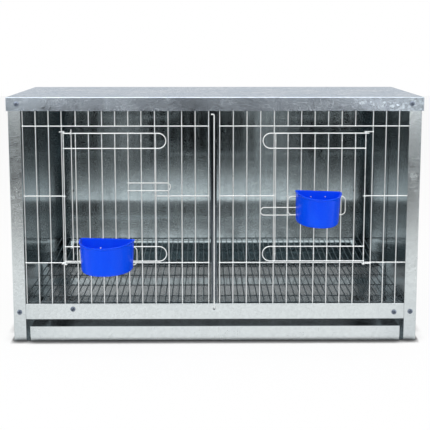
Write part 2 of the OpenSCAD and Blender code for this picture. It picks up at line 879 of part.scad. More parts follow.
// Bracket with two hooks over the upper leg of the door's lower loop
module left_cup_bracket() {
    z = left_bracket_z;
    r = loop_y - bracket_y;
    color(wire_grey) {
        bracket(left_cup_x, z, left_cup_x, prong_len + left_half * sin(left_cup_turn));
        for (x = [left_cup_x - hook_x, left_cup_x + hook_x]) {
            translate([x, loop_y, z])
                rotate([0, 90, 0])
                    rotate([0, 0, 90])
                        arc(r, thin_wire, hook_turn);
            wire_z(x, loop_y + r, z - hook_tail, z, thin_wire);
        }
    }
}

// Bracket with two hooks round two of the door's uprights
module right_cup_bracket() {
    z = right_bracket_z;
    r = wire / 2 + run / 2 + thin_wire / 2;
    color(wire_grey) {
        bracket(right_cup_x - right_bracket_shift, z, right_cup_x, prong_len);
        for (x = [right_door_x, right_door_x + 4 * right_door_pitch]) {
            wire_y(x - r, bracket_y + thin_wire / 2 + seat, door_y, z, thin_wire);
            translate([x, door_y, z])
                arc(r, thin_wire, 180);
            wire_y(x + r, door_y - wire, door_y, z, thin_wire);
        }
    }
}

// Upright rod before the partition, hooked at its top and bent back into the rail
module centre_rod() {
    x = -partition_shift;
    r = rod_d;
    color(wire_grey) {
        wire_z(x, rod_y, rod_hole_z + r, rod_top - r, rod_d);
        translate([x, rod_y + r, rod_hole_z + r])
            rotate([0, -90, 0])
                rotate([0, 0, 180])
                    arc(r, rod_d, 90);
        wire_y(x, rod_y + r, front_y + sheet + rod_tip, rod_hole_z, rod_d);
        translate([x - r, rod_y, rod_top - r])
            rotate([90, 0, 0])
                arc(r, rod_d, 90);
        wire_x(x - r - rod_tip, x - r, rod_y, rod_top, rod_d);
    }
}

// Thin wire beside the left door's hinge, held by a ring round each loop
module door_hook_wire() {
    y = loop_y - wire / 2 - seat - thin_wire / 2;
    color(wire_grey) {
        wire_z(hook_wire_x, y, loop_low_z + hook_wire_under, loop_top_z + hook_wire_over, thin_wire);
        for (z = [loop_top_z, loop_mid_low_z])
            translate([hook_wire_x - thin_wire - seat, loop_y, z])
                rotate([0, 90, 0])
                    arc(loop_y - y, thin_wire, 360);
    }
}

// Round domed head on a thinner shank, its head facing the front
module headed_pin(x, y, z, head, height, shank, length) {
    translate([x, y, z])
        rotate([90, 0, 0]) {
            intersection() {
                cylinder(h = height, d = head, $fn = hole_sides);
                translate([0, 0, height - head * dome])
                    sphere(r = head * dome, $fn = 2 * hole_sides);
            }
            translate([0, 0, -length])
                cylinder(h = length, d = shank, $fn = hole_sides);
        }
}

// Pan-headed screw with a cross recess
module screw(x, y, z, length) {
    difference() {
        headed_pin(x, y, z, head_d, head_h, shank_d, length);
        for (turn = [0, 90])
            translate([x, y - head_h, z])
                rotate([0, turn + recess_turn, 0])
                    cube([recess_len, head_h, recess_w], center = true);
    }
}

module lid_screws() {
    color(zinc)
        for (x = lid_screw_x)
            screw(x, lid_front_y, lid_screw_z, front_y + lid_shank_reach - lid_front_y);
}

// Screws in the posts' feet and in the rail
module body_screws() {
    color(zinc) {
        for (side = [-1, 1])
            screw(side * post_screw_x, front_y, post_screw_z, shank_len);
        screw(-left_rail_screw, front_y, left_rail_screw_z, shank_len);
        screw(right_rail_screw, front_y, right_rail_screw_z, shank_len);
    }
}

// Rivets seen on the back's inside
module rear_rivets() {
    color(zinc)
        for (side = [-1, 1], x = [rear_rivet, rear_rivet + rivet_pitch])
            headed_pin(side * x, rear_y, rear_rivet_z, rivet_d, rivet_h, rivet_shank_d,
                sheet + rivet_tail);
}

// Small rivets in the partition's front flange
module partition_rivets() {
    y = upright_y + wire / 2 + seat;
    color(zinc)
        for (z = small_rivet_z)
            headed_pin(small_rivet_x, y, z, small_rivet_d, sheet, small_shank_d, sheet + rivet_tail);
}

lid();
left_side_panel();
right_side_panel();
rear_panel();
partition();
front_header();
front_rail();
rear_ledge();
left_floor_mesh();
right_floor_mesh();
tray();
left_grille();
right_grille();
left_hinge_eyes();
right_hinge_eyes();
left_door();
right_door();
left_latch();
right_latch();
left_cup();
right_cup();
left_cup_bracket();
right_cup_bracket();
centre_rod();
door_hook_wire();
lid_screws();
body_screws();
rear_rivets();
partition_rivets();
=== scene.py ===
# Double pigeon cage: galvanised sheet body, welded wire fronts, two blue plastic cups.
import math
import bpy
import numpy as np
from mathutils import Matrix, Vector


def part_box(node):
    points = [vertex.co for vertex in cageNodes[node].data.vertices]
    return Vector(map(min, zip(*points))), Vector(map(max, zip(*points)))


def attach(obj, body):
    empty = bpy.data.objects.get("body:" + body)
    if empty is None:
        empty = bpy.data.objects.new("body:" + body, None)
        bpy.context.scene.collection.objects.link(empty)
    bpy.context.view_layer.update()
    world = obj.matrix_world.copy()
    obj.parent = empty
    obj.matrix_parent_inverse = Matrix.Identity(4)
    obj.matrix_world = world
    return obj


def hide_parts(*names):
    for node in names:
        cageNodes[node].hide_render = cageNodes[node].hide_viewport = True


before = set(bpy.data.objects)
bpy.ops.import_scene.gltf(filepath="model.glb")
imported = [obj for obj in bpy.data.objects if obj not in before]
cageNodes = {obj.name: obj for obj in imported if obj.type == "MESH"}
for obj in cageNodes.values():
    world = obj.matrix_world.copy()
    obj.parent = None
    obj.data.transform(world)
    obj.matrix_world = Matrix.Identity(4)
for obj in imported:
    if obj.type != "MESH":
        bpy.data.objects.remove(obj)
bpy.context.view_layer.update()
print("frame loaded:", len(cageNodes), "nodes")

scene = bpy.context.scene
scene.view_settings.view_transform = "Standard"


# Node tree helpers. A new node takes its settings first, then values or links for its inputs.

def addNode(tree, kind, inputs=None, **settings):
    node = tree.nodes.new(kind)
    for name, value in settings.items():
        setattr(node, name, value)
    for name, value in (inputs or {}).items():
        if isinstance(value, bpy.types.NodeSocket):
            tree.links.new(value, node.inputs[name])
        else:
            node.inputs[name].default_value = value
    return node


def mathOf(tree, operation, first, second=0.0, clamp=False):
    inputs = {0: first, 1: second}
    return addNode(tree, "ShaderNodeMath", inputs, operation=operation, use_clamp=clamp).outputs[0]


def times(tree, first, *others):
    for other in others:
        first = mathOf(tree, "MULTIPLY", first, other)
    return first


def plus(tree, first, *others):
    for other in others:
        first = mathOf(tree, "ADD", first, other)
    return first


def minus(tree, first, second):
    return mathOf(tree, "SUBTRACT", first, second)


def offFrom(tree, value, middle=0.0):
    return mathOf(tree, "ABSOLUTE", minus(tree, value, middle) if middle else value)


def mapRange(tree, value, low, high, newLow, newHigh, curve="LINEAR"):
    inputs = {"Value": value, "From Min": low, "From Max": high, "To Min": newLow, "To Max": newHigh}
    return addNode(tree, "ShaderNodeMapRange", inputs, interpolation_type=curve).outputs[0]


def stretch(tree, noise, margin, low=0.0, high=1.0):
    # noise values crowd round a half, so a margin is cut off at both ends
    return mapRange(tree, noise, margin, 1 - margin, low, high)


blendHalf = 0.1


def leftToRight(tree, across, left, right):
    # one value on the cage's left and another on its right, blended in the middle
    return mapRange(tree, across, -blendHalf, blendHalf, left, right)


def mixColours(tree, share, first, second):
    # inputs 6 and 7 and output 2 are the Mix node's sockets for colours
    return addNode(tree, "ShaderNodeMix", {0: share, 6: first, 7: second}, data_type="RGBA").outputs[2]


def mixValues(tree, share, first, second):
    inputs = {"Factor": share, "A": first, "B": second}
    return addNode(tree, "ShaderNodeMix", inputs, data_type="FLOAT").outputs[0]


def split(tree, place):
    return addNode(tree, "ShaderNodeSeparateXYZ", {"Vector": place}).outputs


def noiseOf(tree, place, **settings):
    return addNode(tree, "ShaderNodeTexNoise", {"Vector": place, **settings}).outputs


def bumpOf(tree, height, depth=1.0, **more):
    inputs = {"Strength": 1.0, "Distance": depth, "Height": height, **more}
    return addNode(tree, "ShaderNodeBump", inputs).outputs[0]


def nearShade(tree, reach):
    return addNode(tree, "ShaderNodeAmbientOcclusion", {"Distance": reach}, samples=8).outputs["AO"]


def newGroup(name, inputs, outputs):
    group = bpy.data.node_groups.new(name, "ShaderNodeTree")
    for label, kind in inputs.items():
        group.interface.new_socket(label, in_out="INPUT", socket_type="NodeSocket" + kind)
    for label in outputs:
        group.interface.new_socket(label, in_out="OUTPUT", socket_type="NodeSocketFloat")
    start = group.nodes.new("NodeGroupInput")
    end = group.nodes.new("NodeGroupOutput")
    return group, start.outputs, end.inputs


def placeGroup(tree, group, inputs):
    return addNode(tree, "ShaderNodeGroup", inputs, node_tree=group).outputs


# Zinc flowers: cells with a tone of their own, feathered by a finer noise, with thin seams between them.

flower = {"warp": 0.004, "ferns": 0.3, "seamWidth": 0.07, "raised": 0.6, "sunk": 0.4}


def makeSpangle():
    group, given, result = newGroup(
        "zincFlowers", {"Vector": "Vector", "Cells": "Float", "Feather": "Float"}, ["Tone", "Seam", "Height"],
    )
    place = given["Vector"]
    warp = {0: noiseOf(group, place, Scale=260.0, Detail=2.0)["Color"], "Scale": flower["warp"]}
    shift = addNode(group, "ShaderNodeVectorMath", warp, operation="SCALE").outputs[0]
    bent = addNode(group, "ShaderNodeVectorMath", {0: place, 1: shift}, operation="ADD").outputs[0]
    grid = {"Vector": bent, "Scale": given["Cells"]}
    cells = addNode(group, "ShaderNodeTexVoronoi", grid).outputs["Color"]
    edges = addNode(group, "ShaderNodeTexVoronoi", grid, feature="DISTANCE_TO_EDGE").outputs["Distance"]
    fern = noiseOf(group, place, Scale=900.0, Detail=3.0, Roughness=0.6)[0]
    feather = times(group, stretch(group, fern, flower["ferns"], -0.5, 0.5), given["Feather"])
    plain = addNode(group, "ShaderNodeSeparateColor", {"Color": cells}).outputs[0]
    tone = mathOf(group, "ADD", plain, feather, clamp=True)
    seam = mapRange(group, edges, 0.0, flower["seamWidth"], 1.0, 0.0)
    height = plus(group, times(group, tone, flower["raised"]), times(group, seam, -flower["sunk"]))
    for label, socket in (("Tone", tone), ("Seam", seam), ("Height", height)):
        group.links.new(socket, result[label])
    return group


# Handling marks: wide soft smudges and short thin scratches in three directions.

smudge = {"margin": 0.3}
scratch = {"low": 0.68, "high": 0.72}
scratchRuns = (
    {"Rotation": (0.3, 0.5, 0.4), "Scale": (1, 26, 1)},
    {"Rotation": (1.1, 0.2, 1.3), "Scale": (22, 1, 1)},
    {"Rotation": (0.7, 1.2, 0.1), "Scale": (1, 1, 24)},
)


def makeHandling():
    group, given, result = newGroup(
        "handlingMarks", {"Vector": "Vector", "Smudge Scale": "Float", "Scratch Scale": "Float"},
        ["Smudge", "Scratch"],
    )
    place = given["Vector"]
    soft = noiseOf(group, place, Scale=given["Smudge Scale"], Detail=4.0, Roughness=0.62, Distortion=0.6)[0]
    group.links.new(stretch(group, soft, smudge["margin"]), result["Smudge"])
    thin = 0.0
    for run in scratchRuns:
        turned = addNode(group, "ShaderNodeMapping", {"Vector": place, **run}).outputs[0]
        lines = noiseOf(group, turned, Scale=given["Scratch Scale"], Detail=1.0)[0]
        lines = mapRange(group, lines, scratch["low"], scratch["high"], 0.0, 1.0)
        thin = mathOf(group, "MAXIMUM", lines, thin)
    group.links.new(thin, result["Scratch"])
    return group


# Dull spots: small pale bloom of white rust and settled dust, thick where the noise is high.

spots = {"low": 0.5, "high": 0.78, "grains": 0.35, "leastGrain": 0.4}


def makeBloom():
    group, given, result = newGroup(
        "whiteBloom", {"Vector": "Vector", "Scale": "Float", "Amount": "Float"}, ["Mask"],
    )
    place = given["Vector"]
    patches = noiseOf(group, place, Scale=given["Scale"], Detail=5.0, Roughness=0.7)[0]
    patches = mapRange(group, patches, spots["low"], spots["high"], 0.0, 1.0)
    grains = noiseOf(group, place, Scale=1400.0, Detail=2.0)[0]
    grains = stretch(group, grains, spots["grains"], spots["leastGrain"])
    mask = mathOf(group, "MULTIPLY", times(group, patches, grains), given["Amount"], clamp=True)
    group.links.new(mask, result["Mask"])
    return group


# Rolling lines: streaks along one axis, the broad ones alone for the waves and half of each for the tone.

streak = {"margin": 0.35}


def makeRolling():
    group, given, result = newGroup(
        "rollingLines", {"Vector": "Vector", "Squeeze": "Vector"}, ["Tone", "Wave"],
    )
    inputs = {0: given["Vector"], 1: given["Squeeze"]}
    along = addNode(group, "ShaderNodeVectorMath", inputs, operation="MULTIPLY").outputs[0]
    narrow = noiseOf(group, along, Scale=160.0, Detail=4.0, Roughness=0.65)[0]
    broad = noiseOf(group, along, Scale=28.0, Detail=1.5)[0]
    both = plus(group, times(group, narrow, 0.5), times(group, broad, 0.5))
    group.links.new(stretch(group, both, streak["margin"]), result["Tone"])
    group.links.new(broad, result["Wave"])
    return group


spangle = makeSpangle()
handling = makeHandling()
bloom = makeBloom()
rolling = makeRolling()


def startMaterial(name):
    material = bpy.data.materials.new(name)
    material.use_nodes = True
    tree = material.node_tree
    shader = tree.nodes["Principled BSDF"]
    place = addNode(tree, "ShaderNodeTexCoord").outputs["Object"]
    return material, tree, shader, place


# Dust settled in the cage's foot: most in the low back of the inside, none outside it.

dust = {"top": 0.082, "clear": 0.09, "front": 0.04, "back": 0.15, "side": 0.375, "soft": 0.01,
        "thinnest": 0.7, "most": 0.25, "colour": (0.58, 0.61, 0.62, 1)}


def settledDust(tree, place, patches):
    at = split(tree, place)
    low = mapRange(tree, at["Z"], dust["top"], dust["clear"], dust["most"], 0.0)
    behind = mapRange(tree, at["Y"], dust["front"], dust["back"], 0.0, 1.0)
    across = mapRange(tree, offFrom(tree, at["X"]), dust["side"], dust["side"] + dust["soft"], 1.0, 0.0)
    return times(tree, low, behind, across, mapRange(tree, patches, 0.0, 1.0, dust["thinnest"], 1.0))


# Inner faces of the folded frame: one between the side walls, behind the posts' front, where a sheet's colour
# is darkened as painted shade.

shelter = {"side": 0.3966, "front": -0.1425, "top": 0.4785,
           "colour": (0.1, 0.12, 0.14, 1), "gloomColour": (0.05, 0.06, 0.07, 1)}


def innerFace(tree, place):
    at = split(tree, place)
    across = mathOf(tree, "LESS_THAN", offFrom(tree, at["X"]), shelter["side"])
    behind = mathOf(tree, "GREATER_THAN", at["Y"], shelter["front"])
    return times(tree, across, behind, mathOf(tree, "LESS_THAN", at["Z"], shelter["top"]))


# Darker parts of the frame's front: towards the outer corners of its foot, and even more the posts' upper
# part, which is painted shade.

frontDarkening = {"from": 0.3, "to": 0.4, "low": 0.02, "high": 0.13, "most": 0.3, "colour": (0.28, 0.33, 0.36, 1)}
upperPostPaintedShade = {"from": 0.26, "to": 0.34, "left": 1.4, "right": 1.5, "front": -0.12, "back": -0.1}


def darkerFootAndPaintedPostShade(tree, place):
    at = split(tree, place)
    aside = mapRange(tree, offFrom(tree, at["X"]), frontDarkening["from"], frontDarkening["to"], 0.0, frontDarkening["most"])
    below = mapRange(tree, at["Z"], frontDarkening["low"], frontDarkening["high"], 1.0, 0.0)
    above = mapRange(tree, at["Z"], upperPostPaintedShade["from"], upperPostPaintedShade["to"], 0.0, 1.0)
    most = leftToRight(tree, at["X"], upperPostPaintedShade["left"], upperPostPaintedShade["right"])
    front = mapRange(tree, at["Y"], upperPostPaintedShade["front"], upperPostPaintedShade["back"], 1.0, 0.0)
    return times(tree, aside, plus(tree, below, times(tree, above, most, front)))


# Foot of the back: the sheets below the floor lean back as they go down, so they mirror the room in front.

backFoot = {"top": 0.0785, "from": 0.2, "to": 0.2302, "side": 0.3963, "lean": 0.24}


def footLean(tree, place):
    # how far the sheet leans back, and one where it does
    at = split(tree, place)
    top = backFoot["top"]
    down = mapRange(tree, at["Z"], 0.0, top, top * backFoot["lean"], 0.0)
    behind = mathOf(tree, "GREATER_THAN", at["Y"], backFoot["from"])
    before = mathOf(tree, "LESS_THAN", at["Y"], backFoot["to"])
    across = mathOf(tree, "LESS_THAN", offFrom(tree, at["X"]), backFoot["side"])
    here = times(tree, behind, before, across, mathOf(tree, "LESS_THAN", at["Z"], top))
    return times(tree, down, here), here


# Galvanised sheet: zinc flowers and rolling lines tint the metal, smudges and bloom dull it, and dents,
# waves, flowers and scratches bend what it mirrors.

stains = {"seam": 0.2, "bloom": 0.5, "bloomRough": 0.3, "bloomColour": (0.62, 0.66, 0.68, 1),
          "scratchRough": 0.06, "scratchDepth": 0.00001}


def sheetColour(tree, place, sheet, skin):
    tone = plus(
        tree, times(tree, skin["zinc"]["Tone"], sheet["cellTone"]),
        times(tree, skin["lines"]["Tone"], sheet["lineTone"]),
        times(tree, skin["marks"]["Smudge"], 1 - sheet["cellTone"] - sheet["lineTone"]),
    )
    depth = split(tree, place)["Y"]
    # painted shade on the inner faces, deepest towards the front of the inside
    gloom = mapRange(tree, depth, sheet["gloomFrom"], sheet["gloomTo"], sheet["gloom"], 0.0)
    metal = mixColours(tree, tone, sheet["dark"], sheet["light"])
    for share, colour in (
        (times(tree, skin["zinc"]["Seam"], stains["seam"]), sheet["dark"]),
        (times(tree, skin["dull"], stains["bloom"]), stains["bloomColour"]),
        # darker towards the foot's outer corners, and painted shade on the posts' upper part
        (darkerFootAndPaintedPostShade(tree, place), frontDarkening["colour"]),
        # painted shade on the inner faces
        (times(tree, skin["inner"], sheet["innerShade"]), shelter["colour"]),
        (times(tree, skin["inner"], gloom), shelter["gloomColour"]),
        # painted shade on the leaning foot of the back
        (times(tree, skin["leaning"], sheet["footShade"]), shelter["gloomColour"]),
        (skin["dust"], dust["colour"]),
    ):
        metal = mixColours(tree, share, metal, colour)
    return metal


def sheetRoughness(tree, place, sheet, skin):
    grit = times(tree, minus(tree, skin["marks"]["Smudge"], skin["zinc"]["Tone"]), sheet["roughSpread"])
    grit = plus(tree, grit, sheet["rough"], times(tree, skin["dull"], stains["bloomRough"]))
    scratched = times(tree, skin["marks"]["Scratch"], stains["scratchRough"] * sheet["scratched"])
    grit = mathOf(tree, "ADD", grit, scratched, clamp=True)
    step = sheet["step"]
    if step:
        level = split(tree, place)["Z"]
        clear = mapRange(tree, level, step["low"], step["low"] + step["soft"], step["leastRough"], 1.0)
        grit = times(tree, grit, plus(tree, clear, skin["leaning"]))
    return times(tree, grit, minus(tree, 1.0, times(tree, skin["inner"], sheet["innerShine"])))


def pressStep(tree, place, sheet, wide, fine):
    # between its two levels the sheet leans more and more downwards, below them it is calm and leans
    # slightly the other way: slope * sqrt(d^2 + round^2) + more * d^2 - under * b, with the heights
    # d down from the upper level and b down from the lower one
    step = sheet["step"]
    level = split(tree, place)["Z"]
    low, high, top = step["low"], step["high"], backFoot["top"]
    calm = mapRange(tree, level, low, low + step["soft"], step["leastBent"], 1.0)
    wide = times(tree, minus(tree, wide, (sheet["dents"] + sheet["waves"]) / 2), calm)
    down = mapRange(tree, level, low, high, high - low, 0.0)
    square = times(tree, down, down)
    eased = mathOf(tree, "SQRT", plus(tree, square, step["round"] ** 2))
    wide = plus(tree, wide, times(tree, eased, step["slope"]), times(tree, square, step["more"]))
    below = mapRange(tree, level, top, low, low - top, 0.0)
    return minus(tree, wide, times(tree, below, step["under"])), times(tree, fine, calm)


def sheetNormal(tree, place, sheet, skin):
    # wide forms such as dents first, and on them fine ones such as flowers
    dents = noiseOf(tree, place, Scale=9.0, Detail=1.5)[0]
    wide = plus(tree, times(tree, dents, sheet["dents"]), times(tree, skin["lines"]["Wave"], sheet["waves"]))
    patchy = plus(tree, times(tree, skin["marks"]["Smudge"], sheet["patchy"]), 1 - sheet["patchy"])
    scratched = times(tree, skin["marks"]["Scratch"], stains["scratchDepth"] * sheet["scratched"])
    fine = minus(tree, times(tree, skin["zinc"]["Height"], sheet["flowers"], patchy), scratched)
    if sheet["step"]:
        wide, fine = pressStep(tree, place, sheet, wide, fine)
    return bumpOf(tree, fine, Normal=bumpOf(tree, plus(tree, wide, skin["lean"])))


def makeSheet(name, sheet):
    material, tree, shader, place = startMaterial(name)
    scales = {"Smudge Scale": sheet["smudges"], "Scratch Scale": 26.0}
    marks = placeGroup(tree, handling, {"Vector": place, **scales})
    lean, leaning = footLean(tree, place)
    skin = {
        "zinc": placeGroup(tree, spangle, {"Vector": place, "Cells": sheet["cells"], "Feather": 0.7}),
        "lines": placeGroup(tree, rolling, {"Vector": place, "Squeeze": sheet["squeeze"]}),
        "dull": placeGroup(tree, bloom, {"Vector": place, "Scale": 38.0, "Amount": sheet["bloom"]})["Mask"],
        "dust": settledDust(tree, place, marks["Smudge"]),
        "inner": innerFace(tree, place),
        "marks": marks, "lean": lean, "leaning": leaning,
    }
    tree.links.new(sheetColour(tree, place, sheet, skin), shader.inputs["Base Color"])
    tree.links.new(minus(tree, 1.0, skin["dust"]), shader.inputs["Metallic"])
    tree.links.new(sheetRoughness(tree, place, sheet, skin), shader.inputs["Roughness"])
    tree.links.new(sheetNormal(tree, place, sheet, skin), shader.inputs["Normal"])
    shader.inputs["Specular Tint"].default_value = sheet["edgeTint"]
    return material


frameSheet = {
    "light": (0.75, 0.80, 0.81, 1), "dark": (0.65, 0.70, 0.71, 1), "edgeTint": (1, 1, 1, 1),
    "cells": 260.0, "squeeze": (1.0, 1.0, 0.05), "smudges": 12.0, "bloom": 0.05, "scratched": 1.0,
    "cellTone": 0.5, "lineTone": 0.1, "rough": 0.18, "roughSpread": 0.08,
    "dents": 0.0004, "waves": 0.00005, "flowers": 0.00006, "patchy": 0.3, "step": None,
    "innerShade": 0.45, "innerShine": 0.4, "gloom": 0.4, "gloomFrom": -0.13, "gloomTo": -0.12,
    "footShade": 0.35,
}
lidSheet = dict(
    frameSheet, light=(0.62, 0.69, 0.76, 1), dark=(0.42, 0.475, 0.54, 1), edgeTint=(0.54, 0.59, 0.65, 1),
    cells=190.0, squeeze=(0.05, 1.0, 1.0), smudges=16.0, roughSpread=0.12,
    dents=0.0016, flowers=0.0001, patchy=0.7,
)
backStep = {"low": 0.137, "high": 0.2265, "slope": 0.042, "more": 0.09, "round": 0.008, "under": 0.03,
            "soft": 0.02, "leastBent": 0.1, "leastRough": 0.4}
insideSheet = dict(
    frameSheet, light=(0.60, 0.70, 0.73, 1), dark=(0.42, 0.50, 0.53, 1),
    cells=170.0, squeeze=(1.0, 1.0, 0.03), smudges=9.0, scratched=0.25,
    cellTone=0.4, lineTone=0.35, rough=0.06, roughSpread=0.03,
    dents=0.00018, waves=0.0003, flowers=0.00003, patchy=0.5, step=backStep,
    innerShade=0.0, innerShine=0.0, gloom=0.0, footShade=0.25,
)
# the partition's near-black colour is painted shade
partitionPaintedDarkSheet = dict(
    insideSheet, light=(0.13, 0.15, 0.17, 1), dark=(0.06, 0.07, 0.085, 1), rough=0.12, step=None,
)
traySheet = dict(
    frameSheet, light=(0.74, 0.79, 0.80, 1), dark=(0.67, 0.72, 0.73, 1),
    cells=200.0, squeeze=(0.05, 1.0, 1.0), rough=0.2, dents=0.0002, flowers=0.00003,
    gloom=0.55, gloomFrom=0.04, gloomTo=0.16, footShade=0.0,
)


# Galvanised wire, and the screws and rivets: drips and dull patches along it, with a fine pitted skin, and
# painted shade in the screws' recesses.

wireStainsAndRecessShade = {"drips": 0.35, "bloom": 0.5, "bloomRough": 0.3, "bloomColour": (0.6, 0.62, 0.63, 1),
              "smudgeRough": 0.14, "shut": 0.5, "open": 0.9, "recessShadeColour": (0.02, 0.022, 0.025, 1)}


def makeWire(name, wire):
    material, tree, shader, place = startMaterial(name)
    marks = placeGroup(tree, handling, {"Vector": place, "Smudge Scale": 16.0, "Scratch Scale": 60.0})
    dull = placeGroup(tree, bloom, {"Vector": place, "Scale": 90.0, "Amount": 0.4})["Mask"]
    drips = noiseOf(tree, place, Scale=70.0, Detail=3.0, Roughness=0.6)[0]
    drips = stretch(tree, drips, wireStainsAndRecessShade["drips"])
    metal = mixColours(tree, drips, wire["dark"], wire["light"])
    metal = mixColours(tree, times(tree, dull, wireStainsAndRecessShade["bloom"]), metal, wireStainsAndRecessShade["bloomColour"])
    # painted shade: the colour turns near black where ambient occlusion finds a recess
    if wire["recess"]:
        near = nearShade(tree, wire["recess"])
        lit = mapRange(tree, near, wireStainsAndRecessShade["shut"], wireStainsAndRecessShade["open"], 0.0, 1.0)
        metal = mixColours(tree, lit, wireStainsAndRecessShade["recessShadeColour"], metal)
    tree.links.new(metal, shader.inputs["Base Color"])
    grit = plus(tree, times(tree, marks["Smudge"], wireStainsAndRecessShade["smudgeRough"]), wire["rough"])
    grit = mathOf(tree, "ADD", grit, times(tree, dull, wireStainsAndRecessShade["bloomRough"]), clamp=True)
    tree.links.new(grit, shader.inputs["Roughness"])
    shader.inputs["Metallic"].default_value = wire["bare"]
    pitted = noiseOf(tree, place, Scale=700.0, Detail=2.0)[0]
    height = plus(tree, times(tree, pitted, 0.5), times(tree, drips, 0.5))
    tree.links.new(bumpOf(tree, height, wire["pits"]), shader.inputs["Normal"])
    return material


frontWire = {"light": (0.95, 0.975, 0.98, 1), "dark": (0.86, 0.89, 0.90, 1), "rough": 0.26,
             "pits": 0.00002, "bare": 1.0, "recess": 0.0}
thinWire = dict(frontWire, light=(0.95, 0.97, 0.97, 1), dark=(0.84, 0.86, 0.87, 1))
floorWire = dict(
    frontWire, light=(0.19, 0.22, 0.24, 1), dark=(0.08, 0.10, 0.11, 1), rough=0.3, pits=0.00004, bare=0.9,
)
screwZinc = dict(
    frontWire, light=(0.24, 0.28, 0.35, 1), dark=(0.11, 0.135, 0.18, 1), rough=0.3, pits=0.00003,
    recess=0.003,
)
rivetSteel = dict(
    frontWire, light=(0.14, 0.15, 0.155, 1), dark=(0.07, 0.075, 0.08, 1), rough=0.28, pits=0.00003,
)


# Moulded gloss plastic: flow streaks in the colour, an orange-peel skin, and rubbed duller patches.

cupBlue = {"deep": (0.0, 0.07, 0.95, 1), "pale": (0.001, 0.09, 0.99, 1), "flow": (1.0, 1.0, 0.3),
           "streaks": 0.3, "rough": 0.2, "smudgeRough": 0.08, "scratchRough": 0.12, "bending": 1.46,
           "shine": 0.14, "peel": 0.00002}


def makePlastic(name, plastic):
    material, tree, shader, place = startMaterial(name)
    flow = addNode(tree, "ShaderNodeMapping", {"Vector": place, "Scale": plastic["flow"]}).outputs[0]
    streaks = noiseOf(tree, flow, Scale=34.0, Detail=3.0, Distortion=0.8)[0]
    streaks = stretch(tree, streaks, plastic["streaks"])
    tree.links.new(mixColours(tree, streaks, plastic["deep"], plastic["pale"]), shader.inputs["Base Color"])
    marks = placeGroup(tree, handling, {"Vector": place, "Smudge Scale": 24.0, "Scratch Scale": 90.0})
    grit = plus(tree, times(tree, marks["Smudge"], plastic["smudgeRough"]), plastic["rough"])
    grit = mathOf(tree, "ADD", grit, times(tree, marks["Scratch"], plastic["scratchRough"]), clamp=True)
    tree.links.new(grit, shader.inputs["Roughness"])
    shader.inputs["IOR"].default_value = plastic["bending"]
    shader.inputs["Specular IOR Level"].default_value = plastic["shine"]
    peel = noiseOf(tree, place, Scale=320.0, Detail=1.0)[0]
    tree.links.new(bumpOf(tree, peel, plastic["peel"]), shader.inputs["Normal"])
    return material


finishes = {
    "galvanised_lid": makeSheet("lidZinc", lidSheet),
    "galvanised_frame": makeSheet("frameZinc", frameSheet),
    "galvanised_inside": makeSheet("insideZinc", insideSheet),
    "galvanised_partition": makeSheet("partitionZincPaintedDark", partitionPaintedDarkSheet),
    "galvanised_tray": makeSheet("trayZinc", traySheet),
    "front_wire": makeWire("frontWireZinc", frontWire),
    "floor_wire": makeWire("floorWireZinc", floorWire),
    "thin_wire": makeWire("thinWireZinc", thinWire),
    "cup_plastic": makePlastic("cupBlue", cupBlue),
    "screw_zinc": makeWire("screwZinc", screwZinc),
    "rivet_steel": makeWire("rivetSteel", rivetSteel),
}
print("finishes made:", len(finishes))

nodeFinish = {
    "lid": "galvanised_lid", "left_side_panel": "galvanised_frame", "right_side_panel": "galvanised_frame",
    "rear_panel": "galvanised_inside", "partition": "galvanised_partition",
    "front_header": "galvanised_frame", "front_rail": "galvanised_frame", "rear_ledge": "galvanised_frame",
    "left_floor_mesh": "floor_wire", "right_floor_mesh": "floor_wire", "tray": "galvanised_tray",
    "left_grille": "front_wire", "right_grille": "front_wire", "left_hinge_eyes": "front_wire",
    "right_hinge_eyes": "front_wire", "left_door": "front_wire", "right_door": "front_wire",
    "left_latch": "thin_wire", "right_latch": "thin_wire", "left_cup": "cup_plastic",
    "right_cup": "cup_plastic", "left_cup_bracket": "thin_wire", "right_cup_bracket": "thin_wire",
    "centre_rod": "front_wire", "door_hook_wire": "thin_wire", "lid_screws": "screw_zinc",
    "body_screws": "screw_zinc", "rear_rivets": "rivet_steel", "partition_rivets": "rivet_steel",
}
for name, node in cageNodes.items():
    for slot in node.material_slots:
        slot.material = finishes[nodeFinish[name]]


def meshFromArrays(name, points, faces, slot, body):
    mesh = bpy.data.meshes.new(name)
    mesh.from_pydata(points.tolist(), [], faces)
    mesh.polygons.foreach_set("use_smooth", np.full(len(mesh.polygons), True))
    mesh.update()
    piece = bpy.data.objects.new(name, mesh)
    scene.collection.objects.link(piece)
    piece.data.materials.append(finishes[slot])
    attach(piece, body)
    return piece


def ringFaces(rows, columns):
    # quads between neighbouring rows of a grid whose columns close on themselves
    row, column = np.meshgrid(np.arange(rows - 1), np.arange(columns), indexing="ij")
    here = row * columns + column
    beside = row * columns + (column + 1) % columns
    return np.stack([here, beside, beside + columns, here + columns], axis=-1).reshape(-1, 4)


def fanFaces(columns, start, tip, under=False):
    # triangles from the row that begins at start to one tip, turned round where the tip is under it
    here = start + np.arange(columns)
    beside = start + (np.arange(columns) + 1) % columns
    pair = [beside, here] if under else [here, beside]
    return np.stack([np.full(columns, tip), *pair], axis=1)


# Cup: a half-oval outline, carried up the outer wall, round the rim's flange and down inside.

leftCup = {"width": 0.108, "depth": 0.0775, "height": 0.0615, "middle": -0.208, "hangZ": 0.1897,
           "hangDrop": 0.0185, "turn": 8.0, "roll": 0.0, "wall": 0.0018, "lip": 0.0016, "edge": 0.0022,
           "foot": 0.007, "corner": 0.003, "taper": 0.95, "rimFall": 0.006, "hollow": 0.0006,
           "hollowInset": 0.012, "restInset": 0.001, "columns": 160}
rightCup = dict(
    leftCup, width=0.090, depth=0.0795, height=0.062, middle=0.1985, hangZ=0.2888, hangDrop=0.011,
    turn=0.0, roll=2.0,
)
steps = {"oval": 181, "corner": 16, "bend": 6, "wall": 13}  # points along each part of the curves


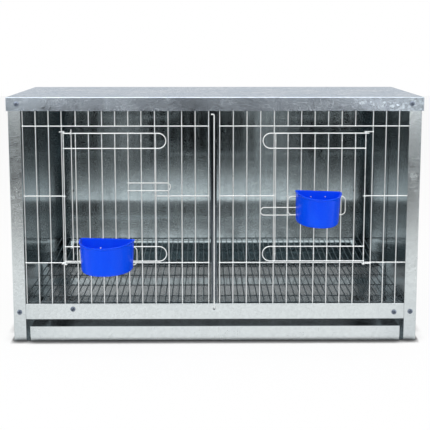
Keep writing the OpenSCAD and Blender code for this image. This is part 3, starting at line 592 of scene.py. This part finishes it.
def halfOval(width, depth, corner, columns):
    # half an ellipse in front of a straight back with quarter-circle corners, evenly spaced by length:
    # half the width times the cosine across, and the depth beyond the corner times the sine ahead
    half = width / 2
    front = np.linspace(0, math.pi, steps["oval"])
    turn = np.linspace(0, math.pi / 2, steps["corner"])
    across = np.concatenate([
        half * np.cos(front), corner - half - corner * np.cos(turn), half - corner + corner * np.sin(turn),
    ])
    ahead = np.concatenate([
        corner + (depth - corner) * np.sin(front), corner - corner * np.sin(turn),
        corner - corner * np.cos(turn),
    ])
    loop = np.stack([np.append(across, across[0]), np.append(ahead, ahead[0])], axis=1)
    run = np.concatenate([[0], np.cumsum(np.hypot(*np.diff(loop, axis=0).T))])
    step = np.linspace(0, run[-1], columns, endpoint=False)
    return np.interp(step, run, loop[:, 0]), np.interp(step, run, loop[:, 1])


def cupProfile(cup):
    # how far in from the outer wall and how high, from the middle of the foot up, over and down inside
    wall, foot, lip, edge, height = cup["wall"], cup["foot"], cup["lip"], cup["edge"], cup["height"]
    bend = np.linspace(0, math.pi / 2, steps["bend"])
    half = edge / 2
    flange = height - half
    insets = [
        [foot + cup["hollowInset"], foot + cup["restInset"]], foot - foot * np.sin(bend),
        np.zeros(steps["wall"] - 1), half - lip - half * np.sin(2 * bend),
        wall - half + half * np.sin(bend), np.full(steps["wall"], wall), wall + foot - foot * np.cos(bend),
    ]
    heights = [
        [cup["hollow"], 0.0], foot - foot * np.cos(bend),
        np.linspace(foot, height - edge, steps["wall"])[1:], flange - half * np.cos(2 * bend),
        flange + half * np.cos(bend), np.linspace(flange, foot + wall, steps["wall"] + 1)[1:],
        foot + wall - foot * np.sin(bend),
    ]
    return np.concatenate(insets), np.concatenate(heights)


def cupShell(cup):
    # one half oval at each point of the profile, drawn in by its inset and narrower towards the foot; the
    # rim falls in proportion to the height and to the way from the back; last a point under and one inside
    height, foot = cup["height"], cup["foot"]
    shellWidth, shellDepth = cup["width"] - 2 * cup["lip"], cup["depth"] - cup["lip"]
    insets, heights = cupProfile(cup)
    grown = (heights - foot) / (height - foot)
    share = np.clip(cup["taper"] + (1 - cup["taper"]) * grown, cup["taper"], 1)
    rows = []
    for inset, level, part in zip(insets, heights, share):
        behind = max(inset, 0)
        width, depth = shellWidth * part - 2 * inset, shellDepth * part - inset - behind
        across, ahead = halfOval(width, depth, cup["corner"], cup["columns"])
        ahead = ahead + behind
        drop = cup["rimFall"] * ahead / cup["depth"] * level / height
        rows.append(np.stack([across, -ahead, level - drop], axis=1))
    middles = [[0, row[:, 1].mean(), row[:, 2].mean()] for row in (rows[0], rows[-1])]
    return len(rows), np.concatenate([*rows, middles])


def makeCup(node, body, cup):
    # the shell, hung by its upper back, is rolled sideways and then turned about the upright
    rows, shell = cupShell(cup)
    shell[:, 2] += cup["hangDrop"] - cup["height"]
    roll, turn = math.radians(cup["roll"]), math.radians(cup["turn"])
    across = shell[:, 0] * math.cos(roll) + shell[:, 2] * math.sin(roll)
    level = shell[:, 2] * math.cos(roll) - shell[:, 0] * math.sin(roll)
    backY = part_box(node)[1].y - cup["width"] / 2 * math.sin(turn)
    points = np.stack([
        cup["middle"] + across * math.cos(turn) + shell[:, 1] * math.sin(turn),
        backY + shell[:, 1] * math.cos(turn) - across * math.sin(turn),
        cup["hangZ"] + level,
    ], axis=1)
    columns = cup["columns"]
    under = fanFaces(columns, 0, len(points) - 2, under=True)
    bottom = fanFaces(columns, (rows - 1) * columns, len(points) - 1)
    faces = [*ringFaces(rows, columns).tolist(), *under.tolist(), *bottom.tolist()]
    piece = meshFromArrays(node + "_moulded", points, faces, "cup_plastic", body)
    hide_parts(node)
    piece.visible_glossy = False  # the sheet behind is too uneven to mirror them


makeCup("left_cup", "left_cup", leftCup)
makeCup("right_cup", "right_cup", rightCup)
print("cups moulded")


# Weld nuggets: a flattened bead of metal where two wires of a mesh cross.

weldBead = {"rings": 5, "columns": 8, "wide": 0.00165, "thick": 0.0013}
slender = 6  # a straight wire is more than this many times as long as wide
micro = 1e6  # corners that agree to a millionth of a metre are one
weldedNodes = {
    "left_grille": "root", "right_grille": "root", "left_floor_mesh": "root", "right_floor_mesh": "root",
    "left_door": "left_door", "right_door": "right_door",
}


def wireBoxes(node):
    # low and high corners of each separate wire: faces that share a corner take the lowest label
    mesh = cageNodes[node].data
    mesh.calc_loop_triangles()
    corners = np.empty(len(mesh.loop_triangles) * 3, dtype=np.int64)
    mesh.loop_triangles.foreach_get("vertices", corners)
    points = np.empty(len(mesh.vertices) * 3)
    mesh.vertices.foreach_get("co", points)
    points = points.reshape(-1, 3)
    rounded = np.round(points * micro).astype(np.int64)
    merged = np.unique(rounded, axis=0, return_inverse=True)[1].reshape(-1)
    faces = merged[corners].reshape(-1, 3)
    label = np.arange(merged.max() + 1)
    while True:
        lowest = label[faces].min(axis=1)
        newer = label.copy()
        for side in range(3):
            np.minimum.at(newer, faces[:, side], lowest)
        if (newer == label).all():
            break
        label = newer
    owner = np.unique(label[merged], return_inverse=True)[1]
    low = np.full((owner.max() + 1, 3), np.inf)
    high = -low
    np.minimum.at(low, owner, points)
    np.maximum.at(high, owner, points)
    return low, high


def weldPoints(node):
    # every place where a wire along X meets one across it, in the meeting plane of the two
    low, high = wireBoxes(node)
    size, middle = high - low, (high + low) / 2
    other = 1 if "floor" in node else 2
    depthAxis = 3 - other
    first = np.nonzero(size[:, 0] > slender * size[:, other])[0]
    second = np.nonzero(size[:, other] > slender * size[:, 0])[0]
    a, b = (grid.ravel() for grid in np.meshgrid(first, second, indexing="ij"))
    meets = (middle[b, 0] > low[a, 0]) & (middle[b, 0] < high[a, 0])
    meets &= (middle[a, other] > low[b, other]) & (middle[a, other] < high[b, other])
    a, b = a[meets], b[meets]
    places = np.zeros((len(a), 3))
    places[:, 0] = middle[b, 0]
    places[:, other] = middle[a, other]
    places[:, depthAxis] = (middle[a, depthAxis] + middle[b, depthAxis]) / 2
    return places, depthAxis


def weldBall(depthAxis):
    # a ball's rings, each a circle times the level's cosine at the height of its sine, and its two poles,
    # squashed along the axis in which the wires lie on each other
    columns, wide = weldBead["columns"], weldBead["wide"]
    level = np.linspace(-1, 1, weldBead["rings"] + 2)[1:-1] * math.pi / 2
    around = np.arange(columns) * 2 * math.pi / columns
    ball = np.stack([
        np.outer(np.cos(level), np.cos(around)), np.outer(np.cos(level), np.sin(around)),
        np.outer(np.sin(level), np.ones(columns)),
    ], axis=-1).reshape(-1, 3)
    ball = np.concatenate([ball, [[0, 0, -1], [0, 0, 1]]]) * np.array([wide, wide, weldBead["thick"]])
    return ball[:, [0, 2, 1]] * np.array([1, -1, 1]) if depthAxis == 1 else ball


def makeWelds(node, body):
    places, depthAxis = weldPoints(node)
    ball = weldBall(depthAxis)
    rings, columns = weldBead["rings"], weldBead["columns"]
    under = fanFaces(columns, 0, len(ball) - 2, under=True)
    over = fanFaces(columns, (rings - 1) * columns, len(ball) - 1)
    points = (places[:, None, :] + ball[None, :, :]).reshape(-1, 3)
    offsets = (np.arange(len(places)) * len(ball))[:, None, None]
    quads = (ringFaces(rings, columns)[None] + offsets).reshape(-1, 4)
    fans = (np.concatenate([under, over])[None] + offsets).reshape(-1, 3)
    meshFromArrays(node + "_welds", points, [*quads.tolist(), *fans.tolist()], nodeFinish[node], body)
    print("welds on", node, len(places))


for node, body in weldedNodes.items():
    makeWelds(node, body)


# Surroundings: a white floor with a soft shadow from the lamps and a painted one near the cage, a pale
# room and the dark end of it that only metal mirrors.

floor = {"back": 8.0, "front": -2.5, "half": 8.0, "white": 0.92, "glow": 0.9,
         "fadeFar": -2.4, "fadeNear": -1.04, "farTone": 0.02,
         "roundFrom": 0.27, "roundMost": 0.2, "roundLeft": 1.7, "roundRight": 1.15}
# the painted contact shadow is deep close to the cage, but thin beside its front feet
contact = {"reach": 0.026, "deep": 8.0, "thin": 0.3, "from": 0.396, "to": 0.404, "front": -0.09, "back": 0.02}
# painted shade of a dark stand, on the floor and the far wall beside the pool of light
stand = {"middle": 0.385, "half": 0.03, "soft": 0.07, "shade": 0.3, "far": -1.3, "near": -1.1, "top": 0.36}
farWall = {"half": 4.0, "top": 1.4, "tone": 0.012}
paleBand = {"from": 0.25, "to": 0.38, "strength": 0.42}  # heights between which the far wall turns pale
paleAbove = {"from": 0.42, "to": 0.6, "strength": 0.42, "left": 0.35, "right": 0.6, "least": 0.35}
paleEnds = {"from": 0.66, "to": 0.82, "low": 0.02, "high": 0.8, "foot": 0.04, "top": 0.33,
            "left": 0.55, "right": 1.0}
paleCorners = {"from": 0.5, "to": 0.78, "low": 0.0, "high": 1.0, "foot": 0.285, "top": 0.325,
               "left": 0.7, "right": 2.2}
paleStrips = (
    {"middle": -0.395, "full": 0.045, "half": 0.1, "strength": 0.25, "top": 0.2, "soft": 0.05},
    {"middle": 0.305, "full": 0.05, "half": 0.13, "strength": 0.34, "top": 0.5, "soft": 0.05},
)
sky = {"level": 0.5, "seen": 1.0}  # for diffuse rays, and for the camera's and mirrored ones


def standShade(tree, across):
    off = offFrom(tree, across, stand["middle"])
    return mapRange(tree, off, stand["half"], stand["soft"], stand["shade"], 1.0, "SMOOTHSTEP")


def rayShare(tree):
    # one for rays from the camera and for mirrored or refracted ones
    rays = addNode(tree, "ShaderNodeLightPath").outputs
    seen = plus(tree, rays["Is Camera Ray"], rays["Is Glossy Ray"])
    return mathOf(tree, "ADD", seen, rays["Is Transmission Ray"], clamp=True)


def flatPiece(name, corners, material):
    mesh = bpy.data.meshes.new(name)
    mesh.from_pydata(corners, [], [(0, 1, 2, 3)])
    piece = bpy.data.objects.new(name, mesh)
    scene.collection.objects.link(piece)
    mesh.materials.append(material)
    return piece


def contactShade(tree, at):
    outside = mapRange(tree, offFrom(tree, at["X"]), contact["from"], contact["to"], 0.0, 1.0)
    ahead = mapRange(tree, at["Y"], contact["front"], contact["back"], 1.0, 0.0)
    power = mapRange(tree, times(tree, outside, ahead), 0.0, 1.0, contact["deep"], contact["thin"])
    return mathOf(tree, "POWER", nearShade(tree, contact["reach"]), power)


def floorFade(tree, at):
    # full light near the cage, dark far in front of it, with round corners and the stand's shade
    beside = mathOf(tree, "MAXIMUM", minus(tree, offFrom(tree, at["X"]), floor["roundFrom"]), 0.0)
    beside = mathOf(tree, "MINIMUM", beside, floor["roundMost"])
    bow = times(tree, beside, leftToRight(tree, at["X"], floor["roundLeft"], floor["roundRight"]))
    ahead = minus(tree, at["Y"], bow)
    fade = mapRange(tree, ahead, floor["fadeFar"], floor["fadeNear"], floor["farTone"], 1.0, "SMOOTHSTEP")
    shaded = standShade(tree, at["X"])
    return times(tree, fade, mapRange(tree, at["Y"], stand["far"], stand["near"], shaded, 1.0))


def makeFloor():
    material, tree, shader, place = startMaterial("floorWhite")
    tree.nodes.remove(shader)
    at = split(tree, place)
    cameraRay = addNode(tree, "ShaderNodeLightPath").outputs["Is Camera Ray"]
    fade = mathOf(tree, "MAXIMUM", floorFade(tree, at), cameraRay)
    white = (floor["white"], floor["white"], floor["white"], 1)
    lit = addNode(tree, "ShaderNodeBsdfDiffuse", {"Color": white}).outputs[0]
    strength = times(tree, contactShade(tree, at), fade)
    glow = addNode(tree, "ShaderNodeEmission", {"Strength": strength}).outputs[0]
    share = times(tree, rayShare(tree), floor["glow"])
    mixed = addNode(tree, "ShaderNodeMixShader", {0: share, 1: lit, 2: glow}).outputs[0]
    tree.links.new(mixed, tree.nodes["Material Output"].inputs["Surface"])
    half, back, front = floor["half"], floor["back"], floor["front"]
    flatPiece("floor", [(-half, front, 0), (half, front, 0), (half, back, 0), (-half, back, 0)], material)


def paleSides(tree, at, pale, curve):
    # pale towards both ends of the wall, from the foot up to the top
    side = mapRange(tree, offFrom(tree, at["X"]), pale["from"], pale["to"], 0.0, 1.0, curve)
    most = leftToRight(tree, at["X"], pale["left"], pale["right"])
    rise = mapRange(tree, at["Z"], pale["foot"], pale["top"], pale["low"], pale["high"])
    return times(tree, side, most, rise)


def wallTone(tree, at):
    tone = mapRange(
        tree, at["Z"], paleBand["from"], paleBand["to"], farWall["tone"], paleBand["strength"], "SMOOTHSTEP",
    )
    for pale in paleStrips:
        off = offFrom(tree, at["X"], pale["middle"])
        strip = mapRange(tree, off, pale["full"], pale["half"], pale["strength"], 0.0, "SMOOTHSTEP")
        low = mapRange(tree, at["Z"], pale["top"], pale["top"] + pale["soft"], 1.0, 0.0)
        tone = plus(tree, tone, times(tree, strip, low))
    tone = plus(
        tree, tone, paleSides(tree, at, paleEnds, "SMOOTHSTEP"), paleSides(tree, at, paleCorners, "LINEAR"),
        mapRange(tree, at["Z"], paleAbove["from"], paleAbove["to"], 0.0, paleAbove["strength"]),
    )
    shy = mapRange(tree, at["X"], paleAbove["left"], paleAbove["right"], 1.0, paleAbove["least"])
    tall = mapRange(tree, at["Z"], stand["top"], paleAbove["from"], 0.0, 1.0)
    return times(tree, tone, mixValues(tree, tall, standShade(tree, at["X"]), shy))


def makeWall():
    material, tree, shader, place = startMaterial("roomWall")
    tree.nodes.remove(shader)
    glow = addNode(tree, "ShaderNodeEmission", {"Strength": wallTone(tree, split(tree, place))}).outputs[0]
    tree.links.new(glow, tree.nodes["Material Output"].inputs["Surface"])
    half, y, top = farWall["half"], floor["front"], farWall["top"]
    piece = flatPiece("roomWall", [(-half, y, 0), (-half, y, top), (half, y, top), (half, y, 0)], material)
    piece.visible_camera = False
    piece.visible_diffuse = False
    piece.visible_shadow = False
    piece.visible_transmission = False


def makeWorld():
    world = bpy.data.worlds.new("paleRoom")
    world.use_nodes = True
    scene.world = world
    tree = world.node_tree
    inputs = tree.nodes["Background"].inputs
    tree.links.new(mapRange(tree, rayShare(tree), 0.0, 1.0, sky["level"], sky["seen"]), inputs["Strength"])
    inputs["Color"].default_value = (1, 1, 1, 1)


def softbox(name, place, aim, size, power):
    lamp = bpy.data.lights.new(name, "AREA")
    lamp.shape = "RECTANGLE"
    lamp.size, lamp.size_y = size
    lamp.energy = power
    holder = bpy.data.objects.new(name, lamp)
    scene.collection.objects.link(holder)
    towards = np.array(aim, float) - np.array(place, float)
    tilt = math.acos(-towards[2] / np.linalg.norm(towards))
    holder.location = place
    holder.rotation_euler = (tilt, 0, math.atan2(towards[1], towards[0]) - math.pi / 2)
    return holder


makeFloor()
makeWall()
makeWorld()
softbox("topBox", (0.0, -0.5, 2.6), (0.0, 0.0, 0.2), (3.0, 2.0), 42)
fill = softbox("frontFill", (0.0, -2.7, 0.8), (0.0, 0.1, 0.2), (2.0, 0.8), 7)
fill.visible_glossy = False  # it only lifts what isn't mirror-like
softbox("leftBox", (-2.2, -1.6, 1.7), (0.0, 0.0, 0.2), (1.2, 1.6), 11)
softbox("rightBox", (2.2, -1.6, 1.7), (0.0, 0.0, 0.2), (1.2, 1.6), 7)

view = {"place": (-0.0194, -2.2814, 0.6086), "tilt": 9.48, "turn": 0.51, "lens": 93.4, "film": 36, "end": 50}
camera = bpy.data.cameras.new("camera")
camera.lens = view["lens"]
camera.sensor_width = view["film"]
camera.clip_end = view["end"]
cameraHolder = bpy.data.objects.new("camera", camera)
cameraHolder.location = view["place"]
cameraHolder.rotation_euler = (math.radians(90 - view["tilt"]), 0, math.radians(-view["turn"]))
scene.collection.objects.link(cameraHolder)
scene.camera = cameraHolder
print("camera and lamps placed")
